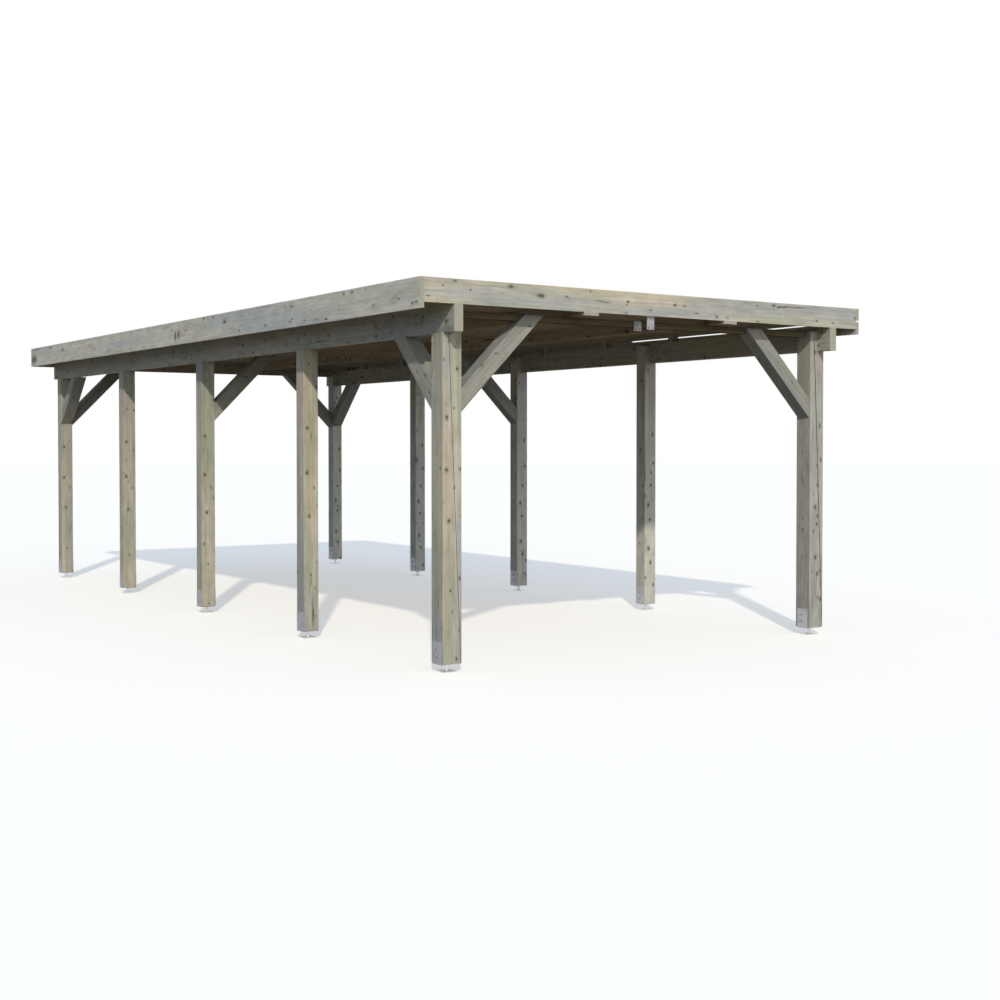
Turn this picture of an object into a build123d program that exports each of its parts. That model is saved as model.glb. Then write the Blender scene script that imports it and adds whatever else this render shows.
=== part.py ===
from build123d import *
import os

# Long single carport with a flat boarded roof on ten notched posts in two rows. Millimetres.
# X runs across the bay, Y from the front (-Y) to the back (+Y), Z up.
# Z = 0 is the underside of the foot plates.

# Plan
bays_per_side = 4
bay_spacing = 1950.0
row_outer_face_x = 1695.0
end_overhang = 199.0
side_overhang = 240.0

# Posts: the front pair is a heavier section than the rest
front_post_side = 140.0
post_side = 120.0
post_edge_round = 4.0
beam_seat_height = 2091.0

# Adjustable post shoes
plate_side = 100.0
plate_thickness = 6.0
plate_hole_spacing = 70.0
plate_hole_radius = 5.5
rod_radius = 10.0
rod_length = 29.0
nut_across_flats = 30.0
nut_height = 16.0
cup_thickness = 5.0
cup_depth = 100.0
cup_height = 145.0

# Side beams, housed in the outer half of the post heads
beam_thickness = 65.0
beam_height = 170.0
beam_inset = 5.0
beam_edge_round = 3.0

# Crossbeams between the post heads, purlins laid flat on them
crossbeam_thickness = 60.0
crossbeam_height = 45.0
crossbeam_drop = 22.0
purlin_width = 120.0
purlin_height = 90.0
purlin_offset_x = 620.0

# Knee braces at 45 degrees
brace_width = 105.0
brace_thickness = 115.0
cross_brace_rise = 645.0
cross_brace_head_drop = 5.0
long_brace_rise = 487.0

# Roof and fascia boards
deck_thickness = 20.0
felt_thickness = 5.0
fascia_thickness = 28.0
fascia_upstand = 61.0
side_fascia_drop = 38.0
lower_board_height = 92.0
front_lower_length = 2700.0
split_gap = 12.0
tight_gap = 1.5
butt_gap = 2.0

# Packers on the side beams, cleats behind the side fascias
packer_length = 60.0
packer_pitch = 912.0
packers_per_half = 4
cleat_length = 60.0
cleat_thickness = 24.0
cleat_lift = 6.0
inner_cleat_shift = 80.0
outer_cleat_shift = 50.0

# Drilled hanger plates near mid span, behind the front fascia and on the front crossbeam
lug_width = 63.0
lug_thickness = 3.0
lug_drop = 68.0
lug_grip = 45.0
lug_offset_x = -90.0
lug_corner_round = 5.0
lug_hole_radius = 5.5
lug_hole_spacing = 32.0
lug_hole_rise = 12.0

# Derived levels and faces
half_share = 0.5
root_two_shares = 2.0**half_share
root_three_shares = 3.0**half_share
right_angle = 90.0
hexagon_sides = 6
cut_margin = 20.0
cup_bottom_z = plate_thickness + rod_length + nut_height
timber_bottom_z = cup_bottom_z + cup_thickness
beam_bottom_z = timber_bottom_z + beam_seat_height
beam_top_z = beam_bottom_z + beam_height
crossbeam_top_z = beam_top_z - crossbeam_drop
crossbeam_bottom_z = crossbeam_top_z - crossbeam_height
deck_bottom_z = crossbeam_top_z + purlin_height
deck_top_z = deck_bottom_z + deck_thickness
felt_top_z = deck_top_z + felt_thickness
fascia_top_z = felt_top_z + fascia_upstand
side_fascia_bottom_z = beam_top_z - side_fascia_drop
gap_bottom_z = side_fascia_bottom_z + lower_board_height
gap_top_z = gap_bottom_z + split_gap
beam_outer_x = row_outer_face_x - beam_inset
beam_inner_x = beam_outer_x - beam_thickness
rows_y = [bay_spacing * (row - bays_per_side * half_share) for row in range(bays_per_side + 1)]
fascia_outer_x = row_outer_face_x + side_overhang
fascia_inner_x = fascia_outer_x - fascia_thickness
fascia_outer_y = rows_y[-1] + end_overhang
fascia_inner_y = fascia_outer_y - fascia_thickness
brace_slant_height = brace_width * root_two_shares
standing = (Align.CENTER, Align.CENTER, Align.MIN)
sides = {"left": -1.0, "right": 1.0}
every_row = range(len(rows_y))
braced_rows = {"front": 0, "middle": bays_per_side // 2, "back": bays_per_side}


def block(x_low, x_high, y_low, y_high, z_low, z_high):
    """Square-edged timber, board or plate between two corners."""
    solid = Box(x_high - x_low, y_high - y_low, z_high - z_low, align=standing)
    return Pos((x_low + x_high) * half_share, (y_low + y_high) * half_share, z_low) * solid


def handed(x_a, x_b, sign):
    """Two X limits on the left or right side, in rising order."""
    return sorted((sign * x_a, sign * x_b))


def save(name, solids):
    """One STEP file for one node."""
    shape = solids[0] if len(solids) == 1 else Compound(children=list(solids))
    shape.label = name
    export_step(shape, f"parts/{name}.step")


def side_of(row):
    """Side of the square posts in a row across the bay."""
    return front_post_side if row == 0 else post_side


def inner_face_x(row):
    """Distance from the centre line to the inner faces of a post pair."""
    return row_outer_face_x - side_of(row)


def post_x(row, sign):
    """Centre line of a post; the outer faces of each row are in one plane."""
    return sign * (row_outer_face_x - side_of(row) * half_share)


def foot_plate(row, sign):
    """Square foot plate with four anchor holes."""
    plate = Box(plate_side, plate_side, plate_thickness, align=standing)
    reach = plate_hole_spacing * half_share
    drill = Cylinder(plate_hole_radius, plate_thickness + cut_margin)
    for x in (-reach, reach):
        for y in (-reach, reach):
            plate -= Pos(x, y, plate_thickness * half_share) * drill
    return Pos(post_x(row, sign), rows_y[row], 0) * plate


def rod(row, sign):
    """Threaded rod between the foot plate and the adjusting nut."""
    bar = Cylinder(rod_radius, rod_length, align=standing)
    return Pos(post_x(row, sign), rows_y[row], plate_thickness) * bar


def nut(row, sign):
    """Hexagon adjusting nut under the cup."""
    body = extrude(RegularPolygon(nut_across_flats / root_three_shares, hexagon_sides), nut_height)
    return Pos(post_x(row, sign), rows_y[row], cup_bottom_z - nut_height) * body


def cup(row, sign):
    """U-shaped cup: a floor under the timber and a flange on both X faces of the post."""
    x = post_x(row, sign)
    half = side_of(row) * half_share
    outer = half + cup_thickness
    y_low = rows_y[row] - cup_depth * half_share
    y_high = rows_y[row] + cup_depth * half_share
    cup_top_z = cup_bottom_z + cup_height
    body = block(x - outer, x + outer, y_low, y_high, cup_bottom_z, cup_top_z)
    y_low -= cut_margin
    y_high += cut_margin
    return body - block(x - half, x + half, y_low, y_high, timber_bottom_z, cup_top_z + cut_margin)


def post(row, sign):
    """Square post; its head is housed for the side beam and leaves a tongue on the inside."""
    x = post_x(row, sign)
    y = rows_y[row]
    half = side_of(row) * half_share
    body = block(x - half, x + half, y - half, y + half, timber_bottom_z, crossbeam_top_z)
    body = fillet(body.edges().filter_by(Axis.Z), post_edge_round)
    x_low, x_high = handed(beam_inner_x, row_outer_face_x + cut_margin, sign)
    reach = half + cut_margin
    return body - block(x_low, x_high, y - reach, y + reach, beam_bottom_z, beam_top_z)


def beam(sign):
    """Side beam over the posts of a row, from the front to the back end of the roof."""
    x_low, x_high = handed(beam_inner_x, beam_outer_x, sign)
    body = block(x_low, x_high, -fascia_outer_y, fascia_outer_y, beam_bottom_z, beam_top_z)
    return fillet(body.edges().filter_by(Axis.Y), beam_edge_round)


def crossbeam(row):
    """Crossbeam between the tongues of a post pair."""
    reach = inner_face_x(row)
    half = crossbeam_thickness * half_share
    return block(-reach, reach, rows_y[row] - half, rows_y[row] + half, crossbeam_bottom_z, crossbeam_top_z)


def brace_outline(start, inward, foot_z, head_z):
    """Side view of a brace from a post face: plumb foot, level head, edges at 45 degrees."""
    rise = head_z - foot_z
    return [
        (start, foot_z),
        (start, foot_z + brace_slant_height),
        (start + inward * (rise - brace_slant_height), head_z),
        (start + inward * rise, head_z),
    ]


def cross_brace(row, sign):
    """Knee brace across the bay; its head is forked over the crossbeam."""
    head_z = crossbeam_top_z - cross_brace_head_drop
    outline = brace_outline(sign * inner_face_x(row), -sign, head_z - cross_brace_rise, head_z)
    face = Plane.XZ * make_face(Polyline(*outline, close=True))
    body = extrude(face, brace_thickness * half_share, both=True)
    return Pos(0, rows_y[row], 0) * body - crossbeam(row)


def long_brace(row, sign):
    """Knee brace along a row, from an end post to the underside of the side beam."""
    inward = 1.0 if row == 0 else -1.0
    start = rows_y[row] + inward * side_of(row) * half_share
    outline = brace_outline(start, inward, beam_bottom_z - long_brace_rise, beam_bottom_z)
    face = Plane.YZ * make_face(Polyline(*outline, close=True))
    body = extrude(face, brace_thickness * half_share, both=True)
    return Pos(sign * (beam_outer_x - brace_thickness * half_share), 0, 0) * body


def purlin(sign):
    """Purlin laid flat on the crossbeams; its rebated front end runs under the front fascia."""
    x = sign * purlin_offset_x
    half = purlin_width * half_share
    body = block(x - half, x + half, -fascia_outer_y, fascia_inner_y, crossbeam_top_z, deck_bottom_z)
    past_y = fascia_outer_y + cut_margin
    past_z = deck_bottom_z + cut_margin
    return body - block(x - purlin_width, x + purlin_width, -past_y, -fascia_inner_y, beam_top_z, past_z)


def packers(sign):
    """Packing blocks between a side beam and the roof boards."""
    x_low, x_high = handed(beam_inner_x, beam_outer_x, sign)
    half = packer_length * half_share
    blocks = []
    for place in range(-packers_per_half, packers_per_half):
        y = packer_pitch * (place + half_share)
        blocks.append(block(x_low, x_high, y - half, y + half, beam_top_z, deck_bottom_z))
    return blocks


def cleats(sign):
    """Cleats that hang the lower part of a side fascia from the roof boards."""
    x_low, x_high = handed(fascia_inner_x - cleat_thickness, fascia_inner_x, sign)
    half = cleat_length * half_share
    inner_y = bay_spacing + inner_cleat_shift
    outer_y = rows_y[-1] + outer_cleat_shift
    z_low = side_fascia_bottom_z + cleat_lift
    places = (-outer_y, -inner_y, 0, inner_y, outer_y)
    return [block(x_low, x_high, y - half, y + half, z_low, deck_bottom_z) for y in places]


def lug(y_low, z_high):
    """Drilled hanger plate; its lower end stands free below the timber that carries it."""
    y_high = y_low + lug_thickness
    z_low = crossbeam_top_z - lug_drop
    half = lug_width * half_share
    plate = block(lug_offset_x - half, lug_offset_x + half, y_low, y_high, z_low, z_high)
    plate = fillet(plate.edges().filter_by(Axis.Y).group_by(Axis.Z)[0], lug_corner_round)
    drill = Rot(right_angle, 0, 0) * Cylinder(lug_hole_radius, lug_thickness + cut_margin)
    for sign in sides.values():
        x = lug_offset_x + sign * lug_hole_spacing * half_share
        plate -= Pos(x, (y_low + y_high) * half_share, z_low + lug_hole_rise) * drill
    return plate


os.makedirs("parts", exist_ok=True)

for side, sign in sides.items():
    save(f"shoe_plates_{side}", [foot_plate(row, sign) for row in every_row])
    save(f"shoe_rods_{side}", [rod(row, sign) for row in every_row])
    save(f"shoe_nuts_{side}", [nut(row, sign) for row in every_row])
    save(f"shoe_cups_{side}", [cup(row, sign) for row in every_row])
    for number, row in enumerate(every_row, start=1):
        save(f"post_{side}_{number}", [post(row, sign)])
    save(f"beam_{side}", [beam(sign)])
    for place, row in braced_rows.items():
        save(f"cross_brace_{side}_{place}", [cross_brace(row, sign)])
    for place in ("front", "back"):
        save(f"long_brace_{side}_{place}", [long_brace(braced_rows[place], sign)])
    save(f"purlin_{side}", [purlin(sign)])

for place, row in braced_rows.items():
    save(f"crossbeam_{place}", [crossbeam(row)])

crossbeam_front_y = rows_y[0] - crossbeam_thickness * half_share
front_lug = lug(-fascia_inner_y, beam_top_z + lug_grip)
rear_lug = lug(crossbeam_front_y - lug_thickness, crossbeam_top_z)
save("midspan_lugs", [front_lug, rear_lug])
save("beam_packers", packers(sides["left"]) + packers(sides["right"]))
save("fascia_cleats", cleats(sides["left"]) + cleats(sides["right"]))

left_board = (-fascia_outer_x, -fascia_inner_x, -fascia_outer_y, fascia_outer_y)
right_board = (fascia_inner_x, fascia_outer_x, -fascia_outer_y, fascia_outer_y)
joint_y = front_lower_length - fascia_outer_y
right_front_board = (fascia_inner_x, fascia_outer_x, -fascia_outer_y, joint_y)
right_rear_board = (fascia_inner_x, fascia_outer_x, joint_y + butt_gap, fascia_outer_y)
front_board = (-fascia_inner_x, fascia_inner_x, -fascia_outer_y, -fascia_inner_y)
back_board = (-fascia_inner_x, fascia_inner_x, fascia_inner_y, fascia_outer_y)
back_skirt = (-beam_inner_x, beam_inner_x, fascia_inner_y, fascia_outer_y)
roof_sheet = (-fascia_inner_x, fascia_inner_x, -fascia_inner_y, fascia_inner_y)
save("fascia_left", [block(*left_board, side_fascia_bottom_z, fascia_top_z)])
front_length = block(*right_front_board, side_fascia_bottom_z, gap_bottom_z)
rear_length = block(*right_rear_board, side_fascia_bottom_z, gap_top_z - tight_gap)
save("fascia_right_lower", [front_length, rear_length])
save("fascia_right_upper", [block(*right_board, gap_top_z, fascia_top_z)])
save("fascia_front", [block(*front_board, beam_top_z, fascia_top_z)])
notched_board = block(*back_board, beam_top_z, fascia_top_z) + block(*back_skirt, side_fascia_bottom_z, beam_top_z)
save("fascia_back", [notched_board])
save("roof_boards", [block(*roof_sheet, deck_bottom_z, deck_top_z)])
save("roof_felt", [block(*roof_sheet, deck_top_z, felt_top_z)])
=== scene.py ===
"""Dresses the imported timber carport.

Weathered softwood, galvanised shoes, a boarded roof and a plain stage.
"""

import math

import bpy
from mathutils import Matrix, Vector


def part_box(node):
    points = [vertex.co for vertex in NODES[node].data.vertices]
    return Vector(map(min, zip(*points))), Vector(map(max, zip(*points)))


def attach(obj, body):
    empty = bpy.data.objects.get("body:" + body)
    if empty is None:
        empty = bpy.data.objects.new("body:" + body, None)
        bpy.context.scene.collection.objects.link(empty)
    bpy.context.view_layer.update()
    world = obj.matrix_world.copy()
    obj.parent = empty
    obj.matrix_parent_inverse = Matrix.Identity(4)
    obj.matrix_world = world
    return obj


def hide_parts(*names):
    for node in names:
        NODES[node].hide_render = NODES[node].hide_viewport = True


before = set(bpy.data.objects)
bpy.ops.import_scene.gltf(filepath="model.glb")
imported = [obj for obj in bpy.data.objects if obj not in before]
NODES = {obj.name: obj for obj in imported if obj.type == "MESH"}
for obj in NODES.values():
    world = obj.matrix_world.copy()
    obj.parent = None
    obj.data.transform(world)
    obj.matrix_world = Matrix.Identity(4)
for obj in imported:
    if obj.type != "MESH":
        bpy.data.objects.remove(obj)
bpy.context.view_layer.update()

bl_info = {
    "name": "Timber Carport",
    "version": (1, 0, 0),
    "blender": (4, 5, 0),
    "location": "View3D > Sidebar > Carport",
    "description": "Dresses a packed timber carport with weathered wood, zinc and a boarded roof",
    "category": "Object",
}

BODY = "root"
SIDES = ("left", "right")
PLACES = ("front", "middle", "back")
HALF = 0.5
DIAGONAL = math.sqrt(HALF)
ALONG_X = Vector((1.0, 0.0, 0.0))
ALONG_Y = Vector((0.0, 1.0, 0.0))
ALONG_Z = Vector((0.0, 0.0, 1.0))
POST_NUMBERS = range(1, 6)
WHITE = (1.0, 1.0, 1.0)

# Timber: colour inputs in order, the end-cut band by facing, and a distance that means no knot.
TIMBER_COLOURS = ("Pale", "Warm", "Green", "Grey", "Knot", "Rim", "End Colour", "Stain", "Check")
ACROSS_GRAIN = (0.0, 1.0, 1.0)
END_CUT_BAND = (0.86, 0.94)
NO_KNOT = 9.0

# Drying cracks: cutter length over the crack's, bottom width over the mouth's, and mesh cleaning.
CRACK_OVERRUN = 1.1
CRACK_TAPER = 0.2
MERGE_GAP = 0.00001
FLAT_ANGLE = math.radians(0.5)

# Zinc and felt: relief in metres and its strength on zinc, shine, screw places as shares of the
# flange, and bevel as a share of the head.
MINERAL_RELIEF = 0.001
CLOUD_BUMP = 0.25
CUP_SHINE = 0.3
PLATE_SHINE = 0.9
SCREW_RISES = (0.36, 0.72)
HEAD_BEVEL = 0.25

# Stage: lengths in metres, the sensor in millimetres.
FLOOR_SIZE = 160.0
FLOOR_DROP = 0.001
FLOOR_GLOW = 0.45
SUN_TRAVEL = Vector((0.794, 1.315, -1.0))
SUN_DISTANCE = 10.0
CAMERA_PLACE = (-6.4516, -11.6721, 1.4516)
SENSOR_WIDTH = 36.0
FAR_CLIP = 500.0

# Main knots: place along the grain, place across it, half length and half width.
# The knots of a row of posts sink a little from each post to the next.
KNOT_FALL = 0.0256
POST_RUN = ALONG_Z + ALONG_Y * KNOT_FALL
LEFT_POST_KNOTS = (
    (1.513, -1.665, 0.016, 0.012),
    (1.182, -1.667, 0.016, 0.012),
    (0.860, -1.650, 0.016, 0.012),
    (1.820, -1.588, 0.013, 0.010),
    (1.987, -1.650, 0.009, 0.006),
    (1.070, -1.609, 0.011, 0.006),
    (0.420, -1.640, 0.010, 0.007),
)
RIGHT_POST_KNOTS = (
    (0.866, 1.612, 0.020, 0.012),
    (0.737, 1.631, 0.013, 0.012),
    (0.488, 1.616, 0.018, 0.012),
    (0.362, 1.638, 0.016, 0.012),
    (1.036, 1.638, 0.014, 0.011),
    (1.226, 1.668, 0.016, 0.009),
    (0.169, 1.668, 0.015, 0.010),
    (1.480, 1.659, 0.022, 0.009),
    (2.037, 1.604, 0.012, 0.008),
)
FRONT_FASCIA_KNOTS = (
    (-1.030, 2.403, 0.034, 0.015),
    (-1.266, 2.448, 0.020, 0.010),
    (1.044, 2.449, 0.017, 0.009),
    (-1.686, 2.457, 0.015, 0.006),
    (0.104, 2.402, 0.014, 0.009),
    (0.303, 2.355, 0.024, 0.004),
    (-1.571, 2.408, 0.010, 0.006),
    (-0.309, 2.403, 0.012, 0.009),
    (-1.880, 2.355, 0.013, 0.004),
    (-1.772, 2.425, 0.008, 0.006),
    (-0.115, 2.356, 0.012, 0.005),
    (1.654, 2.351, 0.013, 0.006),
)
LEFT_FASCIA_KNOTS = (
    (-0.160, 2.362, 0.026, 0.032),
    (-0.085, 2.350, 0.022, 0.036),
    (3.995, 2.350, 0.090, 0.040),
    (-1.124, 2.401, 0.030, 0.014),
    (2.993, 2.403, 0.034, 0.016),
    (-2.847, 2.298, 0.024, 0.008),
    (-3.218, 2.449, 0.021, 0.008),
    (-4.050, 2.318, 0.018, 0.008),
    (-2.287, 2.318, 0.024, 0.006),
    (-1.868, 2.321, 0.018, 0.008),
    (-0.894, 2.449, 0.012, 0.008),
    (-3.832, 2.354, 0.014, 0.005),
)
BRACE_KNOTS = ((-1.019, 2.217, 0.011, 0.009), (-1.285, 2.029, 0.018, 0.006))


def paint(code):
    """Scene-linear colour of a six-digit screen colour."""
    shares = [int(code[place : place + 2], 16) / 255.0 for place in (0, 2, 4)]
    return [s / 12.92 if s <= 0.04045 else ((s + 0.055) / 1.055) ** 2.4 for s in shares]


def colour(name, description, code):
    """Colour property with its default given as a screen colour."""
    return bpy.props.FloatVectorProperty(
        name=name,
        description=description,
        subtype="COLOR",
        size=3,
        min=0.0,
        max=1.0,
        default=paint(code),
    )


def figure(name, description, default, **limits):
    """Plain number."""
    return bpy.props.FloatProperty(name=name, description=description, default=default, **limits)


def level(name, description, default):
    """Plain positive number."""
    return figure(name, description, default, min=0.0)


def length(name, description, default):
    """Length in metres."""
    return figure(name, description, default, min=0.0, unit="LENGTH")


def share(name, description, default):
    """Share of one."""
    return figure(name, description, default, min=0.0, max=1.0, subtype="FACTOR")


def angle(name, description, degrees):
    """Angle with its default given in degrees."""
    return figure(name, description, math.radians(degrees), subtype="ANGLE")


class CarportTimberLook(bpy.types.PropertyGroup):
    """Colours and figure of the weathered softwood."""

    pale: colour("Pale wood", "Sun-bleached early wood", "c0bcb0")
    warm: colour("Warm wood", "Less weathered yellowish streaks", "b7af9a")
    green: colour("Green wood", "Green-grey streaks left by the impregnation", "a8ab96")
    grey: colour("Grey wood", "Silver-grey weathered streaks", "a0a3a1")
    knot: colour("Knots", "Dark brown heart of the knots", "575343")
    ring: colour("Knot rims", "Dark bark ring and shadow around a knot", "77735f")
    end_cut: colour("End cuts", "Sawn ends across the grain", "b6b3a7")
    stain: colour("Stains", "Dark runs and blotches of weather", "7b7869")
    check: colour("Drying checks", "Shadow inside fine drying cracks", "3a352a")
    deck: colour("Roof boards", "Boards on the shaded underside of the roof", "b8b2a4")
    deck_warm: colour("Warm roof boards", "Redder boards on the underside of the roof", "b0a595")
    dull: share("Dull timber", "How far braces and right-hand posts lean to grey", 0.55)
    dull_shade: level("Dull shade", "Brightness of the dull timber", 0.98)
    brace_shade: level("Brace shade", "Brightness of the braces against the dull timber", 0.83)
    side_board_dull: share("Side board dullness", "How far the side fascia boards lean to grey", 0.45)
    side_board_shade: level("Side board shade", "Brightness of the side fascia boards", 1.42)
    end_board_shade: level("End board shade", "Brightness of the front and back fascia boards", 1.12)
    # Painted light: this brightens the tones of the second to fifth right-hand posts in place of light
    # that the lamps give them too little of; it does not stand for weathering.
    right_post_painted_light: level("Sheltered shade", "Brightness of posts that rain and sun reach less", 1.50)
    beam_dull: share("Beam dullness", "How far the long beams lean to grey", 0.4)
    beam_shade: level("Beam shade", "Brightness of the long beams", 1.0)
    # Painted shade: this tint darkens the front crossbeam below the other roof timber, so that its front
    # face under the fascia reads as shaded.
    crossbeam: colour("Front crossbeam", "Tint of the front crossbeam over the roof tones", "9b9585")
    knot_radius: length("Knot radius", "Radius of the largest knots", 0.016)
    fewer_knots: share("Fewer knots", "Size of scattered knots where main knots are placed", 0.6)
    grain_relief: length("Grain relief", "Height of the raised grain", 0.0016)
    notch_ease: length("Notch ease", "Play between the back fascia and the beam ends", 0.001)


class CarportSteelLook(bpy.types.PropertyGroup):
    """Galvanised fittings."""

    zinc: colour("Zinc", "Spangle of the cups and lugs", "b6b7bd")
    dull_zinc: colour("Dull zinc", "Darker spangle and oxide of the cups and lugs", "989aa1")
    # Painted reflection: the right-hand cups get paler zinc than the others, so that their flanges look
    # as if they mirror the bright surroundings.
    right_cup_zinc_painted_reflection: colour("Fresh zinc", "Spangle of the right-hand cups", "d2d3d8")
    right_cup_oxide_painted_reflection: colour("Fresh oxide", "Darker spangle and oxide of the right-hand cups", "b1b3b9")
    # Partly painted light: the plates and rods are galvanised, and their zinc is set near white so that
    # they look lit by sun and sky.
    plate_zinc_painted_light: colour("Bright zinc", "Spangle of the plates and rods", "e6e6e8")
    plate_oxide_painted_light: colour("Bright oxide", "Oxide of the plates and rods", "c6c7ca")
    screw_radius: length("Screw head radius", "Across-corner radius of the hexagon heads", 0.008)
    screw_height: length("Screw head height", "Height of the hexagon heads", 0.0065)
    washer_radius: length("Washer radius", "Radius of the washers under the heads", 0.011)
    washer_height: length("Washer height", "Thickness of the washers", 0.0016)
    weld_radius: length("Weld radius", "Radius of the weld bead round the rods", 0.0035)


class CarportRoofSizes(bpy.types.PropertyGroup):
    """Roof boards and roofing sheets."""

    board_cover: length("Board cover", "Cover width of one roof board", 0.096)
    board_bevel: length("Board bevel", "Bevel along the lower edges of the boards", 0.004)
    sheet_cover: length("Sheet cover", "Width of one roofing sheet that stays in sight", 0.905)
    sheet_lap: length("Sheet lap", "Overlap of one roofing sheet on the next", 0.08)
    upstand: length("Upstand", "Height to which the roofing is dressed up the fascia", 0.045)
    felt: colour("Felt", "Mineral-surfaced sheet", "4a4c4c")
    felt_grit: colour("Felt grit", "Pale mineral granules", "7d7f7c")


class CarportKerfSizes(bpy.types.PropertyGroup):
    """Long drying crack in the front face of each front post."""

    left_width: length("Left width", "Width of the crack in the left post", 0.005)
    right_width: length("Right width", "Width of the crack in the right post", 0.010)
    depth: length("Crack depth", "Depth of the crack", 0.028)
    left_top: share("Left start", "Place of the crack across the left post at its seat", 0.31)
    left_foot: share("Left end", "Place of the crack across the left post at its foot", 0.95)
    right_top: share("Right start", "Place of the crack across the right post at its seat", 0.30)
    right_foot: share("Right end", "Place of the crack across the right post at its foot", 0.97)


class CarportStageLook(bpy.types.PropertyGroup):
    """Light, floor and camera."""

    sun: level("Key light", "Strength of the key light", 2.15)
    sun_softness: angle("Key softness", "Angle that the key light fills", 1.6)
    fill: level("Fill light", "Strength of the even light from all round", 0.45)
    front_fill: level("Front fill", "Strength of the low light from the front", 1.6)
    sky: colour("Fill colour", "Tint of the even light", "b4d5ff")
    front_colour: colour("Front colour", "Tint of the low light from the front", "fff4e0")
    sun_colour: colour("Key colour", "Tint of the key light", "fff6e8")
    floor: colour("Floor", "Pale floor as it is seen", "e6e2d8")
    bounce: colour("Floor bounce", "Tone that the floor throws back up", "837866")
    lens: figure("Lens", "Focal length in millimetres", 51.882)
    yaw: angle("Yaw", "Turn of the camera from straight on", 33.9714)
    pitch: angle("Pitch", "Tilt of the camera", -1.3022)
    rise: figure("Rise", "Vertical shift of the picture", -0.02391)


def feed(tree, made, inputs):
    """Links the inputs that are given as sockets and sets the others."""
    for key, value in inputs.items():
        if isinstance(value, bpy.types.NodeSocket):
            tree.links.new(value, made.inputs[key])
        else:
            made.inputs[key].default_value = value


def node(tree, kind, inputs=None, **settings):
    """Adds a shader node with its settings and inputs."""
    made = tree.nodes.new("ShaderNode" + kind)
    for key, value in settings.items():
        setattr(made, key, value)
    feed(tree, made, inputs or {})
    return made


def calc(tree, operation, *values, clamp=False):
    """Math node on numbers or sockets."""
    made = node(tree, "Math", dict(enumerate(values)), operation=operation, use_clamp=clamp)
    return made.outputs[0]


def times(tree, first, second):
    """Product of two numbers or sockets."""
    return calc(tree, "MULTIPLY", first, second)


def vector_calc(tree, operation, *values):
    """Vector Math node; length and dot product come out as numbers."""
    made = node(tree, "VectorMath", dict(enumerate(values)), operation=operation)
    return made.outputs["Value" if operation in ("LENGTH", "DOT_PRODUCT") else "Vector"]


def remap(tree, value, low, high, to_low=0.0, to_high=1.0, smooth=True):
    """Map Range from low..high to to_low..to_high."""
    inputs = {"Value": value, "From Min": low, "From Max": high, "To Min": to_low, "To Max": to_high}
    kind = "SMOOTHSTEP" if smooth else "LINEAR"
    return node(tree, "MapRange", inputs, interpolation_type=kind, clamp=True).outputs[0]


def blend(tree, factor, first, second, kind="MIX"):
    """Colour mix of two sockets or colours."""
    inputs = {0: factor, 6: first, 7: second}
    return node(tree, "Mix", inputs, data_type="RGBA", blend_type=kind, clamp_factor=True).outputs[2]


def noise(tree, vector, scale, detail=2.0, roughness=HALF, output=0):
    """Noise texture."""
    inputs = {"Vector": vector, "Scale": scale, "Detail": detail, "Roughness": roughness}
    return node(tree, "TexNoise", inputs, noise_dimensions="3D").outputs[output]


def grain_noise(tree, vector, along, across, **settings):
    """Noise drawn out along the grain, with its rates per metre along and across it."""
    rated = vector_calc(tree, "MULTIPLY", vector, (along, across, across))
    return noise(tree, rated, 1.0, **settings)


def bump(tree, height, strength, distance):
    """Normal of a relief."""
    inputs = {"Height": height, "Strength": strength, "Distance": distance}
    return node(tree, "Bump", inputs).outputs[0]


def new_group(name, inputs, outputs):
    """Shader node group with its tree, its inputs and its output node."""
    tree = bpy.data.node_groups.new(name, "ShaderNodeTree")
    for way, sockets in (("INPUT", inputs), ("OUTPUT", outputs)):
        for label, kind in sockets.items():
            tree.interface.new_socket(name=label, in_out=way, socket_type="NodeSocket" + kind)
    given = tree.nodes.new("NodeGroupInput").outputs
    return tree, given, tree.nodes.new("NodeGroupOutput")


def group_node(tree, group, inputs):
    """Places a node group and returns its outputs."""
    made = tree.nodes.new("ShaderNodeGroup")
    made.node_tree = group
    feed(tree, made, inputs)
    return made.outputs


def solid(rgb):
    """Colour with full alpha."""
    return (*rgb, 1.0)


def placed_knot_group():
    """Distance in knot sizes from a knot at a known place, or from a nearer knot before it."""
    name = "Placed knot"
    if name in bpy.data.node_groups:
        return bpy.data.node_groups[name]
    tree, given, out = new_group(
        name,
        {"Vector": "Vector", "Place": "Vector", "Half Size": "Vector", "Before": "Float"},
        {"Nearest": "Float"},
    )
    away = vector_calc(tree, "SUBTRACT", given["Vector"], given["Place"])
    away = vector_calc(tree, "DIVIDE", away, given["Half Size"])
    nearest = calc(tree, "MINIMUM", given["Before"], vector_calc(tree, "LENGTH", away))
    feed(tree, out, {"Nearest": nearest})
    return tree


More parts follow.
